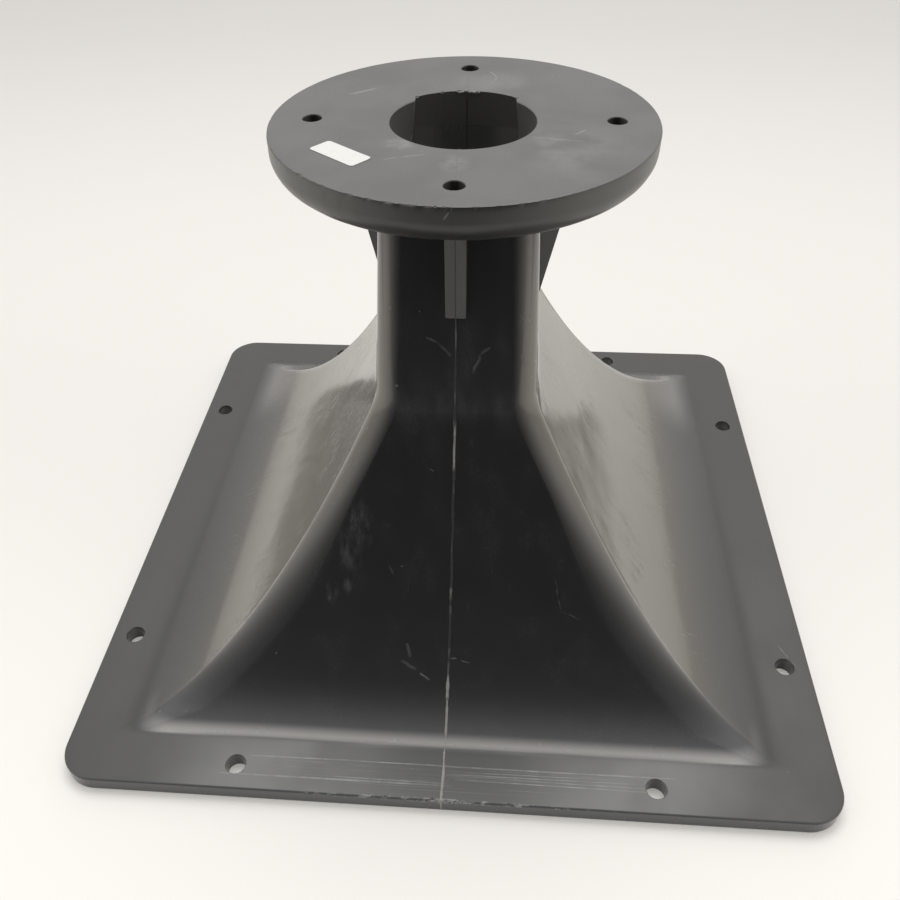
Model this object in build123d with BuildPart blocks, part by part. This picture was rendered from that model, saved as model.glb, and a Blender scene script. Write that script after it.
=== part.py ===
from build123d import *
import os

# A moulded horn for a compression driver, standing on its mouth.
# It is moulded as a left and a right half, which are bonded face to face on the plane X = 0.
# Millimetres. Z = 0 is the face of the mouth flange and +Z runs up to the driver flange.
# The throat slot is long along Y: the side walls stand across X, the panels across Y.

# Overall
height = 192.7
bond_gap = 0.30

# Mouth flange, with two screw holes on each of its four sides
mouth_side = 284.0
mouth_flange_t = 6.2
mouth_corner_r = 14.0
mouth_edge_r = 0.8
screw_r = 3.7
screw_pitch = 152.4
screw_row = 132.3

# Driver flange
driver_r = 65.0
driver_t = 13.2
driver_edge_r = 8.0
driver_rim_r = 0.5
driver_bolt_r = 3.3
driver_pcd = 101.6

# Round throat, which runs into a cone inside the flange
throat_r = 24.5
throat_bore_t = 11.0
throat_cone_t = 16.0
throat_cone_r = 19.0

# Slot through the round throat. At the top its front end stays inside the bore, its rear end breaks out
slot_top_x = 17.5
slot_front_r = 24.0
slot_rear_r = 26.5
slot_base_z = 165.0
slot_base_x = 20.3
slot_base_y = 31.7

# Outer profile of the side walls in the XZ plane: straight neck, bend, then flare
neck_top_x = 26.0
neck_bend_start = (28.7, 114.0)
neck_bend_pull = (28.9, 109.0)
neck_bend_end = (31.3, 104.2)
side_flare_pull = (57.0, 51.2)
side_mouth_pull = (90.0, 7.5)
side_mouth_end = (126.0, 5.6)

# Outer profile of the front and rear panels in the YZ plane: straight neck, then flare
panel_top_y = 34.0
panel_bend = (51.3, 109.0)
panel_flare_pull = (56.6, 87.2)
panel_mouth_pull = (88.3, 15.4)
panel_mouth_end = (124.0, 5.2)

# Inner profiles, one wall thickness inside the outer ones
inner_bend_start = (23.4, 113.0)
inner_bend_pull = (23.6, 108.0)
inner_bend_end = (26.0, 103.1)
inner_side_flare_pull = (52.3, 48.9)
inner_side_mouth_pull = (87.5, 2.6)
inner_side_mouth_end = (119.5, -0.6)
inner_panel_bend = (46.3, 108.0)
inner_panel_flare_pull = (51.7, 86.0)
inner_panel_mouth_pull = (86.5, 10.4)
inner_panel_mouth_end = (120.5, -0.8)

# Rounding where the side walls meet the panels. The crossing edges are found by their place:
# they are the only ones away from both middle planes that climb this far.
outer_corner_r = 8.5
inner_corner_r = 4.0
corner_edge_offset = 15.0
corner_edge_rise = 6.0

# Gussets under the driver flange
gusset_t = 6.8
side_gusset_top_x = 40.6
side_gusset_low = (28.2, 127.0)
panel_gusset_top_y = 46.8
panel_gusset_low = (45.2, 142.6)
panel_gusset_heel = (41.0, 140.0)
gusset_bite = 3.0

# Locating tongues on the right half, which enter grooves in the left half
tongue_depth = 2.4
tongue_t = 2.4
tongue_clear = 0.12
mouth_tongue_y = 131.0
mouth_tongue_len = 14.0
driver_tongue_y = 37.5
driver_tongue_len = 11.0

# Paper label on the driver flange
label_len = 20.3
label_wide = 8.5
label_t = 0.15
label_corner_r = 1.2
label_x = -36.9
label_y = -29.0
label_angle = -40.3

# Derived levels
flange_under = height - driver_t
neck_overlap = 4.0
neck_top_z = flange_under + neck_overlap
cut_margin = 1.0
cut_base_z = -2 * cut_margin
block_reach = mouth_side
bolt_circle_r = driver_pcd / 2
driver_tongue_z = flange_under + driver_t / 2
mouth_tongue_z = mouth_flange_t / 2


def corner_edges(form):
    """The four crossing edges of a form made of two crossed blocks."""
    away = form.edges().filter_by(lambda e: min(abs(e.center().X), abs(e.center().Y)) > corner_edge_offset)
    return away.filter_by(lambda e: e.bounding_box().size.Z > corner_edge_rise)


# Side walls as one long block along Y, seen from the front
with BuildPart() as side_form:
    with BuildSketch(Plane.XZ):
        with BuildLine():
            Line((neck_top_x, neck_top_z), neck_bend_start)
            Bezier(neck_bend_start, neck_bend_pull, neck_bend_end)
            Bezier(neck_bend_end, side_flare_pull, side_mouth_pull, side_mouth_end)
            Line(side_mouth_end, (side_mouth_end[0], 0))
            Line((side_mouth_end[0], 0), (0, 0))
            Line((0, 0), (0, neck_top_z))
            Line((0, neck_top_z), (neck_top_x, neck_top_z))
        make_face()
        mirror(about=Plane.YZ)
    extrude(amount=block_reach, both=True)

# Front and rear panels as one long block along X, seen from the side
with BuildPart() as panel_form:
    with BuildSketch(Plane.YZ):
        with BuildLine():
            Line((panel_top_y, neck_top_z), panel_bend)
            Bezier(panel_bend, panel_flare_pull, panel_mouth_pull, panel_mouth_end)
            Line(panel_mouth_end, (panel_mouth_end[0], 0))
            Line((panel_mouth_end[0], 0), (0, 0))
            Line((0, 0), (0, neck_top_z))
            Line((0, neck_top_z), (panel_top_y, neck_top_z))
        make_face()
        mirror(about=Plane.YZ)
    extrude(amount=block_reach, both=True)

# Outside of the neck and the flare: where both blocks are, with rounded corners
with BuildPart() as outer_form:
    add(side_form.part)
    add(panel_form.part, mode=Mode.INTERSECT)
    fillet(corner_edges(outer_form), radius=outer_corner_r)

# The air passage below the throat, made the same way
with BuildPart() as inner_side_form:
    with BuildSketch(Plane.XZ):
        with BuildLine():
            Line((slot_base_x, slot_base_z), inner_bend_start)
            Bezier(inner_bend_start, inner_bend_pull, inner_bend_end)
            Bezier(inner_bend_end, inner_side_flare_pull, inner_side_mouth_pull, inner_side_mouth_end)
            Line(inner_side_mouth_end, (inner_side_mouth_end[0], cut_base_z))
            Line((inner_side_mouth_end[0], cut_base_z), (0, cut_base_z))
            Line((0, cut_base_z), (0, slot_base_z))
            Line((0, slot_base_z), (slot_base_x, slot_base_z))
        make_face()
        mirror(about=Plane.YZ)
    extrude(amount=block_reach, both=True)

with BuildPart() as inner_panel_form:
    with BuildSketch(Plane.YZ):
        with BuildLine():
            Line((slot_base_y, slot_base_z), inner_panel_bend)
            Bezier(inner_panel_bend, inner_panel_flare_pull, inner_panel_mouth_pull, inner_panel_mouth_end)
            Line(inner_panel_mouth_end, (inner_panel_mouth_end[0], cut_base_z))
            Line((inner_panel_mouth_end[0], cut_base_z), (0, cut_base_z))
            Line((0, cut_base_z), (0, slot_base_z))
            Line((0, slot_base_z), (slot_base_y, slot_base_z))
        make_face()
        mirror(about=Plane.YZ)
    extrude(amount=block_reach, both=True)

with BuildPart() as inner_form:
    add(inner_side_form.part)
    add(inner_panel_form.part, mode=Mode.INTERSECT)
    fillet(corner_edges(inner_form), radius=inner_corner_r)

# Slot between the round throat and the passage: arched ends at the top, square at the bottom
with BuildPart() as throat_slot:
    slot_front_y = -((slot_front_r**2 - slot_top_x**2) ** 0.5)
    slot_rear_y = (slot_rear_r**2 - slot_top_x**2) ** 0.5
    with BuildSketch(Plane.XY.offset(height)):
        with BuildLine():
            Line((slot_top_x, slot_front_y), (slot_top_x, slot_rear_y))
            ThreePointArc((slot_top_x, slot_rear_y), (0, slot_rear_r), (-slot_top_x, slot_rear_y))
            Line((-slot_top_x, slot_rear_y), (-slot_top_x, slot_front_y))
            ThreePointArc((-slot_top_x, slot_front_y), (0, -slot_front_r), (slot_top_x, slot_front_y))
        make_face()
    with BuildSketch(Plane.XY.offset(slot_base_z)):
        Rectangle(2 * slot_base_x, 2 * slot_base_y)
    loft(ruled=True)

# Round entry of the throat, with a cone that blends it into the slot
with BuildPart() as throat_entry:
    with BuildSketch(Plane.XZ):
        with BuildLine():
            Polyline(
                (0, height),
                (throat_r, height),
                (throat_r, height - throat_bore_t),
                (throat_cone_r, height - throat_bore_t - throat_cone_t),
                (0, height - throat_bore_t - throat_cone_t),
                close=True,
            )
        make_face()
    revolve(axis=Axis.Z)

# Mouth flange
with BuildPart() as mouth_flange:
    with BuildSketch():
        RectangleRounded(mouth_side, mouth_side, mouth_corner_r)
    extrude(amount=mouth_flange_t)
    fillet(mouth_flange.faces().sort_by(Axis.Z)[-1].edges(), radius=mouth_edge_r)

# Driver flange, deeply rounded underneath
with BuildPart() as driver_flange:
    with BuildSketch(Plane.XY.offset(flange_under)):
        Circle(driver_r)
    extrude(amount=driver_t)
    fillet(driver_flange.edges().sort_by(Axis.Z)[0], radius=driver_edge_r)
    fillet(driver_flange.edges().sort_by(Axis.Z)[-1], radius=driver_rim_r)

# Gussets: a pair on the side walls, a deeper pair on the panels
with BuildPart() as gussets:
    with BuildSketch(Plane.XZ):
        with BuildLine():
            Polyline(
                (neck_top_x - gusset_bite, neck_top_z),
                (side_gusset_top_x, neck_top_z),
                side_gusset_low,
                (side_gusset_low[0] - gusset_bite, side_gusset_low[1]),
                close=True,
            )
        make_face()
        mirror(about=Plane.YZ)
    extrude(amount=gusset_t / 2, both=True)
    with BuildSketch(Plane.YZ):
        with BuildLine():
            Polyline(
                (panel_top_y - gusset_bite, neck_top_z),
                (panel_gusset_top_y, neck_top_z),
                panel_gusset_low,
                panel_gusset_heel,
                close=True,
            )
        make_face()
        mirror(about=Plane.YZ)
    extrude(amount=gusset_t / 2, both=True)

# The whole horn, before it is divided at the parting plane
with BuildPart() as horn:
    add(outer_form.part)
    add(mouth_flange.part)
    add(driver_flange.part)
    add(gussets.part)
    add(inner_form.part, mode=Mode.SUBTRACT)
    add(throat_slot.part, mode=Mode.SUBTRACT)
    add(throat_entry.part, mode=Mode.SUBTRACT)
    with BuildSketch(Plane.XY.offset(height)):
        with PolarLocations(bolt_circle_r, 4):
            Circle(driver_bolt_r)
    extrude(amount=-driver_t - cut_margin, mode=Mode.SUBTRACT)
    with BuildSketch():
        with GridLocations(screw_pitch, 2 * screw_row, 2, 2):
            Circle(screw_r)
        with GridLocations(2 * screw_row, screw_pitch, 2, 2):
            Circle(screw_r)
    extrude(amount=mouth_flange_t + cut_margin, mode=Mode.SUBTRACT)

# Tongues, and the same shape with clearance for the grooves
tongue_places = []
for side in (-1, 1):
    tongue_places.append((side * mouth_tongue_y, mouth_tongue_z, mouth_tongue_len))
    tongue_places.append((side * driver_tongue_y, driver_tongue_z, driver_tongue_len))

with BuildPart() as tongues:
    with BuildSketch(Plane.YZ.offset(-tongue_depth)):
        for place_y, place_z, length in tongue_places:
            with Locations((place_y, place_z)):
                Rectangle(length, tongue_t)
    extrude(amount=tongue_depth + bond_gap / 2)

with BuildPart() as grooves:
    with BuildSketch(Plane.YZ.offset(-tongue_depth - tongue_clear)):
        for place_y, place_z, length in tongue_places:
            with Locations((place_y, place_z)):
                Rectangle(length + 2 * tongue_clear, tongue_t + 2 * tongue_clear)
    extrude(amount=tongue_depth + tongue_clear)

# Left half of the moulding
with BuildPart() as left_half_shell:
    add(horn.part)
    split(bisect_by=Plane.YZ.offset(-bond_gap / 2), keep=Keep.BOTTOM)
    add(grooves.part, mode=Mode.SUBTRACT)

# Right half of the moulding, with the tongues
with BuildPart() as right_half_shell:
    add(horn.part)
    split(bisect_by=Plane.YZ.offset(bond_gap / 2), keep=Keep.TOP)
    add(tongues.part)

# Cured adhesive in the joint, one film for each wall
with BuildPart() as bond_film:
    add(horn.part)
    split(bisect_by=Plane.YZ.offset(-bond_gap / 2), keep=Keep.TOP)
    split(bisect_by=Plane.YZ.offset(bond_gap / 2), keep=Keep.BOTTOM)
    add(tongues.part, mode=Mode.SUBTRACT)

with BuildPart() as front_bond_seam:
    add(bond_film.part)
    split(bisect_by=Plane.XZ, keep=Keep.TOP)

with BuildPart() as rear_bond_seam:
    add(bond_film.part)
    split(bisect_by=Plane.XZ, keep=Keep.BOTTOM)

# Small blank label
with BuildPart() as paper_label:
    with BuildSketch(Plane.XY.offset(height)):
        with Locations(Location((label_x, label_y, 0), (0, 0, label_angle))):
            RectangleRounded(label_len, label_wide, label_corner_r)
    extrude(amount=label_t)

pieces = {
    "left_half_shell": left_half_shell,
    "right_half_shell": right_half_shell,
    "front_bond_seam": front_bond_seam,
    "rear_bond_seam": rear_bond_seam,
    "paper_label": paper_label,
}
os.makedirs("parts", exist_ok=True)
for label, piece in pieces.items():
    piece.part.label = label
    export_step(piece.part, f"parts/{label}.step")
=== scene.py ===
"""A moulded loudspeaker horn standing on its mouth, in a pale studio.

The shells are meshed here from the CAD part's driving dimensions, fine enough for gloss, and take the
place of the two CAD halves. Lengths are in millimetres until a mesh is made. -Y is the front.
"""

import math
import random
from types import SimpleNamespace

import bmesh
import bpy
from mathutils import Matrix, Vector, noise


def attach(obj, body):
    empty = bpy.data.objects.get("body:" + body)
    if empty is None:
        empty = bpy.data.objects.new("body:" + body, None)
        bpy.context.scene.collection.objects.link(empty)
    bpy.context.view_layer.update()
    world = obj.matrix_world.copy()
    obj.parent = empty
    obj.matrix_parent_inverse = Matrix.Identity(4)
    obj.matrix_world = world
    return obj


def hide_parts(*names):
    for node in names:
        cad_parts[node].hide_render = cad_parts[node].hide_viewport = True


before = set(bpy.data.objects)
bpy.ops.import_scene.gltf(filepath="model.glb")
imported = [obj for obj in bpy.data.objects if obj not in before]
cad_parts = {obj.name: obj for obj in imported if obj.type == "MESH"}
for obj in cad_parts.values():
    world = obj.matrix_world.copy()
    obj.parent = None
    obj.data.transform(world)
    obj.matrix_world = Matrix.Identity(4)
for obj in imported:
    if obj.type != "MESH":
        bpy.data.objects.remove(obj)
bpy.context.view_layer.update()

MM = 0.001
TAU = 2 * math.pi

# ---------------- driving dimensions, as in the part
HEIGHT = 192.7
BOND_GAP = 0.3

MOUTH_SIDE = 284.0
MOUTH_T = 6.2
MOUTH_CORNER_R = 14.0
SCREW_R = 3.7
SCREW_PITCH = 152.4
SCREW_ROW = 132.3

DRIVER_R = 65.0
DRIVER_T = 13.2
DRIVER_EDGE_R = 8.0
DRIVER_BOLT_R = 3.3
BOLT_CIRCLE_R = 50.8

THROAT_R = 24.5
THROAT_BORE_T = 11.0
THROAT_CONE_T = 16.0
THROAT_CONE_R = 19.0
SLOT_TOP_X = 17.5
SLOT_FRONT_R = 24.0
SLOT_REAR_R = 26.5
SLOT_BASE = (20.3, 31.7, 165.0)

FLANGE_UNDER = HEIGHT - DRIVER_T
NECK_TOP_Z = FLANGE_UNDER + 4.0
OUTER_CORNER_R = 8.5
INNER_CORNER_R = 4.0
GUSSET_T = 6.8
SIDE_GUSSET_LOW_Z = 127.0

# ---------------- finer than the CAD
# the rounded corners' reach onto the panels: at the neck, and how much more it is near the mouth
BAND_AT_NECK = 8.8
BAND_WIDENING = 5.9

# the side walls lie a little below the rounded corners, with a narrow shoulder between
WALL_STEP = 0.25
SHOULDER = 0.5

# how far the moulding strays from true, and how it settles onto the mouth flange
WAVE = 0.16
FOOT_SOFTNESS = 0.28

# radii of the mouth flange's upper and lower edges, and the small bevels elsewhere
FLANGE_TOP_R = 0.8
FLANGE_FOOT_R = 0.35
EASED = 0.35

# Bezier control points of the side walls (x, z) and the panels (y, z)
SIDE_BEND = ((28.7, 114.0), (28.9, 109.0), (31.3, 104.2))
SIDE_FLARE = ((31.3, 104.2), (57.0, 51.2), (90.0, 7.5), (126.0, 5.6))
PANEL_FLARE = ((51.3, 109.0), (56.6, 87.2), (88.3, 15.4), (124.0, 5.2))
INNER_SIDE_BEND = ((23.4, 113.0), (23.6, 108.0), (26.0, 103.1))
INNER_SIDE_FLARE = ((26.0, 103.1), (52.3, 48.9), (87.5, 2.6), (119.5, -0.6))
INNER_PANEL_FLARE = ((46.3, 108.0), (51.7, 86.0), (86.5, 10.4), (120.5, -0.8))


# ---------------- curves
def ramp(value, start, end):
    """0 at start and 1 at end, straight between them and level outside them."""
    return min(max((value - start) / (end - start), 0.0), 1.0)


def ease(share):
    """A share from 0 to 1 that starts and ends gently."""
    return share * share * (3 - 2 * share)


def bezier(points, count):
    """Points along a Bezier curve of any degree, both ends included."""
    curve = []
    for i in range(count + 1):
        t = i / count
        level = [Vector(p) for p in points]
        while len(level) > 1:
            level = [a.lerp(b, t) for a, b in zip(level, level[1:])]
        curve.append(tuple(level[0]))
    return curve


def line(start, end, count):
    """Points from start to end, the end left out."""
    return [tuple(Vector(start).lerp(Vector(end), i / count)) for i in range(count)]


def width_at(curve, z):
    """The half width of a profile at height z. The profile runs downward."""
    for (w0, z0), (w1, z1) in zip(curve, curve[1:]):
        if z0 >= z >= z1:
            return w0 + (w1 - w0) * (z0 - z) / max(z0 - z1, 1e-9)
    return curve[0][0] if z > curve[0][1] else curve[-1][0]


def profiles(top, bend, side_flare, panel_top, panel_flare):
    """(side profile, panel profile), from the top down."""
    side = line(top, bend[0], 24) + bezier(bend, 14)[:-1] + bezier(side_flare, 110)
    panel = line(panel_top, panel_flare[0], 24) + bezier(panel_flare, 160)
    return side, panel


outer_side, outer_panel = profiles((26.0, NECK_TOP_Z), SIDE_BEND, SIDE_FLARE, (34.0, NECK_TOP_Z), PANEL_FLARE)
inner_side, inner_panel = profiles(
    (SLOT_BASE[0], SLOT_BASE[2]),
    INNER_SIDE_BEND,
    INNER_SIDE_FLARE,
    (SLOT_BASE[1], SLOT_BASE[2]),
    INNER_PANEL_FLARE,
)


# ---------------- mesh helpers
def new_object(name, bm):
    """A mesh object from a bmesh in millimetres."""
    bmesh.ops.scale(bm, vec=(MM, MM, MM), verts=bm.verts)
    mesh = bpy.data.meshes.new(name)
    bm.to_mesh(mesh)
    bm.free()
    obj = bpy.data.objects.new(name, mesh)
    bpy.context.scene.collection.objects.link(obj)
    return obj


def skin_rings(rings):
    """A closed bmesh skinned over rings that all have the same number of points."""
    bm = bmesh.new()
    loops = [[bm.verts.new(p) for p in ring] for ring in rings]
    for lower, upper in zip(loops, loops[1:]):
        for i in range(len(lower)):
            j = (i + 1) % len(lower)
            bm.faces.new((lower[i], lower[j], upper[j], upper[i]))
    bm.faces.new(list(reversed(loops[0])))
    bm.faces.new(loops[-1])
    bmesh.ops.recalc_face_normals(bm, faces=bm.faces)
    return bm


def combine(target, tool, operation):
    """Boolean of target with tool, applied. The tool is used up."""
    modifier = target.modifiers.new("combine", "BOOLEAN")
    modifier.object = tool
    modifier.operation = operation
    modifier.solver = "MANIFOLD"
    graph = bpy.context.evaluated_depsgraph_get()
    result = bpy.data.meshes.new_from_object(target.evaluated_get(graph))
    target.modifiers.clear()
    spent = [target.data, tool.data]
    target.data = result
    bpy.data.objects.remove(tool)
    for mesh in spent:
        bpy.data.meshes.remove(mesh)


# ---------------- the neck, flare and air passage
def corner_reach(side_slope, panel_slope, radius):
    """How far a rolled corner of this radius reaches along x and along y in a level section.

    The slopes are the walls' leans from upright, in radians. Between two walls that lie almost
    flat the corner is nearly straight, so the rounding fades toward the mouth.
    """
    sin_a, cos_a = math.sin(side_slope), math.cos(side_slope)
    sin_b, cos_b = math.sin(panel_slope), math.cos(panel_slope)
    turn = math.acos(sin_a * sin_b)
    width = radius * math.tan(turn / 2)
    edge = math.sqrt((sin_a * cos_b) ** 2 + cos_a**2)
    along_y = math.sqrt(max(1 - (cos_a * sin_b / edge) ** 2, 1e-6))
    along_x = math.sqrt(max(1 - (sin_a * cos_b / edge) ** 2, 1e-6))
    return width / along_x, width / along_y


def band_reach(z):
    """(x, y) reach of the rounded corner at height z.

    The real rounding is rolled wider onto the panel than a true fillet, more so lower down,
    and it closes up again at the foot, where the flare meets the flange in a square corner.
    """
    reach_x, reach_y = corner_reach(lean(outer_side, z), lean(outer_panel, z), OUTER_CORNER_R)
    wide = BAND_AT_NECK + BAND_WIDENING * ease(ramp(z, 85, 35))
    above_foot = ramp(z, MOUTH_T + 0.3, MOUTH_T + 4.3)
    return reach_x + (max(wide, reach_x) - reach_x) * above_foot, reach_y


def lean(curve, z, step=0.4):
    """A profile's lean from upright at height z."""
    return math.atan2(width_at(curve, z - step) - width_at(curve, z + step), 2 * step)


def section(z, half_x, half_y, reach, flat_steps, arc_steps, step=0.0, flatten=0.0):
    """One level ring: straight sides with a rounded corner in each quadrant.

    step sinks the side walls below the corners, with a narrow shoulder between them. flatten takes
    the rounding toward a straight bevel.
    """
    reach_x, reach_y = reach
    wall_end = half_y - reach_y - SHOULDER
    quadrant = [(half_x - step, wall_end * i / (flat_steps - 1)) for i in range(flat_steps)]
    for i in range(arc_steps + 1):
        share = i / arc_steps
        turn = math.pi / 2 * share
        in_x = (1 - math.cos(turn)) * (1 - flatten) + share * flatten
        in_y = (1 - math.sin(turn)) * (1 - flatten) + (1 - share) * flatten
        quadrant.append((half_x - reach_x * in_x, half_y - reach_y * in_y))
    for i in range(1, flat_steps + 1):
        quadrant.append(((half_x - reach_x) * (1 - i / flat_steps), half_y))
    ring = [(x, y, z) for x, y in quadrant[:-1]]
    ring += [(-x, y, z) for x, y in reversed(quadrant[1:])]
    ring += [(-x, -y, z) for x, y in quadrant[:-1]]
    ring += [(x, -y, z) for x, y in reversed(quadrant[1:])]
    return ring


def ripple(point, height):
    """Moves a point a little, out on the walls and up on the flange: mouldings are never dead flat."""
    x, y, z = point
    wave = noise.noise(Vector((x, y, z)) * 0.021) + 0.4 * noise.noise(Vector((x, y, z)) * 0.06)
    steep = ramp(z, MOUTH_T + 2, MOUTH_T + 27)
    out = Vector((x, y, 0)).normalized() * (wave * height * steep)
    return (x + out.x, y + out.y, z + wave * height * 0.5 * (1 - steep))


def settle(z):
    """Lets a profile run out smoothly onto the mouth flange instead of crossing it."""
    above = z - MOUTH_T
    if above > 12 * FOOT_SOFTNESS:
        return z
    return MOUTH_T + FOOT_SOFTNESS * math.log(1 + math.exp(above / FOOT_SOFTNESS))


def outer_form():
    """Neck, flare and mouth flange as one skin, so that the flare runs into the flange."""
    flat_steps, arc_steps, flange_steps = 30, 14, 8
    rings = []
    for half_x, z in outer_side:
        half_y = width_at(outer_panel, z)
        reach = band_reach(z)
        step = WALL_STEP * ramp(z, 22, 52)
        flatten = 0.2 + 0.2 * ramp(z, 115, 95)
        ring = section(settle(z), half_x, half_y, reach, flat_steps, arc_steps, step, flatten)
        rings.append([ripple(p, WAVE) for p in ring])
    foot_x, foot_y, foot_reach = half_x, half_y, reach
    rim = MOUTH_SIDE / 2 - FLANGE_TOP_R
    for i in range(1, flange_steps + 1):
        share = i / flange_steps
        half_x = foot_x + (rim - foot_x) * share
        half_y = foot_y + (rim - foot_y) * share
        reach = [r + (MOUTH_CORNER_R - FLANGE_TOP_R - r) * share**1.5 for r in foot_reach]
        ring = section(MOUTH_T, half_x, half_y, reach, flat_steps, arc_steps)
        rings.append([ripple(p, WAVE * (1 - share)) for p in ring])
    edge = []
    for i in range(1, 7):
        turn = TAU * i / 24
        edge.append((FLANGE_TOP_R * (1 - math.sin(turn)), MOUTH_T - FLANGE_TOP_R * (1 - math.cos(turn))))
    edge += [(0.0, MOUTH_T * share) for share in (0.7, 0.45, 0.2)]
    edge += [(0.0, FLANGE_FOOT_R), (FLANGE_FOOT_R, 0.0)]
    for inset, z in edge:
        half, radius = MOUTH_SIDE / 2 - inset, MOUTH_CORNER_R - inset
        rings.append(section(z, half, half, (radius, radius), flat_steps, arc_steps))
    return new_object("outer_form", skin_rings(rings))


def passage_form():
    """The air passage below the throat."""
    rings = []
    for half_x, z in inner_side:
        half_y = width_at(inner_panel, z)
        reach = corner_reach(lean(inner_side, z), lean(inner_panel, z), INNER_CORNER_R)
        rings.append(section(z, half_x, half_y, reach, 16, 6))
    rings.append([(x, y, -2.0) for x, y, _ in rings[-1]])
    return new_object("passage_form", skin_rings(rings))


# ---------------- flanges, gussets and throat
def revolve(name, outline, steps, wobble=0.0, worn_above=None):
    """Turns (radius, z) points about Z. wobble lets the radius wander a little.

    Above worn_above the edge is worn back in small irregular bites, most of them at the front left.
    """
    rings = []
    for radius, z in outline:
        ring = []
        for i in range(steps):
            turn = TAU * i / steps
            around = Vector((math.cos(turn), math.sin(turn), 0))
            reach = radius + wobble * noise.noise(around * 6 + Vector((0, 0, z * 0.1)))
            if worn_above is not None and z > worn_above:
                wear = max(0.0, around.dot(Vector((-0.5, -0.87, 0)))) ** 3
                bite = noise.noise(around * 31) + 0.7 * noise.noise(around * 83 + Vector((0, 0, 2)))
                reach -= max(0.0, bite - 0.08) * (0.15 + 0.7 * wear)
            ring.append((reach * around.x, reach * around.y, z))
        rings.append(ring)
    return new_object(name, skin_rings(rings))


def driver_flange_form():
    """A thick disc, deeply rounded below, with a worn rim above."""
    edge_steps = 12
    outline = [(DRIVER_R - DRIVER_EDGE_R - 20.0, FLANGE_UNDER)]
    for i in range(edge_steps + 1):
        turn = math.pi / 2 * i / edge_steps
        out = DRIVER_R - DRIVER_EDGE_R * (1 - math.sin(turn))
        outline.append((out, FLANGE_UNDER + DRIVER_EDGE_R * (1 - math.cos(turn))))
    outline += [(DRIVER_R, HEIGHT - 2.0), (DRIVER_R, HEIGHT - 0.5), (DRIVER_R - 0.15, HEIGHT - 0.15)]
    outline += [(DRIVER_R - 0.5, HEIGHT), (DRIVER_R - 4.0, HEIGHT)]
    return revolve("driver_flange_form", outline, 540, wobble=0.12, worn_above=HEIGHT - 0.4)


def prism(name, outline, thickness, across):
    """A flat outline in XZ or YZ, thickened along the third axis, its long edges eased."""
    rings = []
    middle = sum((Vector(p) for p in outline), Vector((0, 0))) / len(outline)
    for offset, shrink in ((-0.5, EASED), (-0.5, 0.0), (0.5, 0.0), (0.5, EASED)):
        side = offset * thickness if shrink else offset * (thickness - 2 * EASED)
        ring = []
        for u, z in outline:
            toward = (middle - Vector((u, z))).normalized() * shrink
            point = (side, u + toward.x, z + toward.y)
            ring.append(point if across == "X" else (point[1], point[0], point[2]))
        rings.append(ring)
    return new_object(name, skin_rings(rings))


def gusset_forms():
    """A long pair on the side walls and a short pair on the panels, which end a little above the CAD's."""
    forms = []
    for sign in (-1, 1):
        side = [(23.0, NECK_TOP_Z), (40.6, NECK_TOP_Z)]
        side += [(28.2, SIDE_GUSSET_LOW_Z), (25.2, SIDE_GUSSET_LOW_Z)]
        panel = [(31.0, NECK_TOP_Z), (46.8, NECK_TOP_Z), (45.4, 144.2), (41.0, 141.6)]
        forms.append(prism("side_gusset", [(sign * u, z) for u, z in side], GUSSET_T, "Y"))
        forms.append(prism("panel_gusset", [(sign * u, z) for u, z in panel], GUSSET_T, "X"))
    return forms


def throat_slot_form():
    """The slot through the driver flange: arched ends above, square ends below."""
    rear_y = math.sqrt(SLOT_REAR_R**2 - SLOT_TOP_X**2)
    front_y = math.sqrt(SLOT_FRONT_R**2 - SLOT_TOP_X**2)
    end_y = {1: rear_y, -1: -front_y}
    steps = 16
    top, base = [], []
    for sign, radius in ((1, SLOT_REAR_R), (-1, SLOT_FRONT_R)):
        for i in range(steps):
            share = i / steps
            y = end_y[-sign] + (end_y[sign] - end_y[-sign]) * share
            top.append((sign * SLOT_TOP_X, y, HEIGHT + 1))
            base.append((sign * SLOT_BASE[0], sign * SLOT_BASE[1] * (2 * share - 1), SLOT_BASE[2]))
        for i in range(steps):
            share = i / steps
            x = sign * SLOT_TOP_X * (1 - 2 * share)
            top.append((x, sign * math.sqrt(radius**2 - x**2), HEIGHT + 1))
            base.append((sign * SLOT_BASE[0] * (1 - 2 * share), sign * SLOT_BASE[1], SLOT_BASE[2]))
    return new_object("throat_slot_form", skin_rings([base, top]))


def throat_entry_form():
    """The round bore at the driver end, with a cone below it and an eased mouth."""
    outline = [
        (THROAT_CONE_R, HEIGHT - THROAT_BORE_T - THROAT_CONE_T),
        (THROAT_R, HEIGHT - THROAT_BORE_T),
        (THROAT_R, HEIGHT - EASED),
        (THROAT_R + EASED, HEIGHT),
        (THROAT_R + EASED, HEIGHT + 1),
    ]
    return revolve("throat_entry_form", outline, 160)


def drill(radius, x, y, low, high):
    """A hole's cutter, with a slightly eased upper edge."""
    worn = 0.25
    outline = [(radius, low - 1), (radius, high - worn), (radius + worn, high), (radius + worn, high + 1)]
    cutter = revolve("drill", outline, 48)
    cutter.data.transform(Matrix.Translation((x * MM, y * MM, 0)))
    return cutter


def hole_cutters():
    """Four driver bolts, and two screws along each side of the mouth flange."""
    cutters = []
    for i in range(4):
        turn = math.pi / 2 * i
        x, y = BOLT_CIRCLE_R * math.cos(turn), BOLT_CIRCLE_R * math.sin(turn)
        cutters.append(drill(DRIVER_BOLT_R, x, y, FLANGE_UNDER, HEIGHT))
    for along in (-SCREW_PITCH / 2, SCREW_PITCH / 2):
        for row in (-SCREW_ROW, SCREW_ROW):
            cutters.append(drill(SCREW_R, along, row, 0, MOUTH_T))
            cutters.append(drill(SCREW_R, row, along, 0, MOUTH_T))
    return cutters


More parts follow.
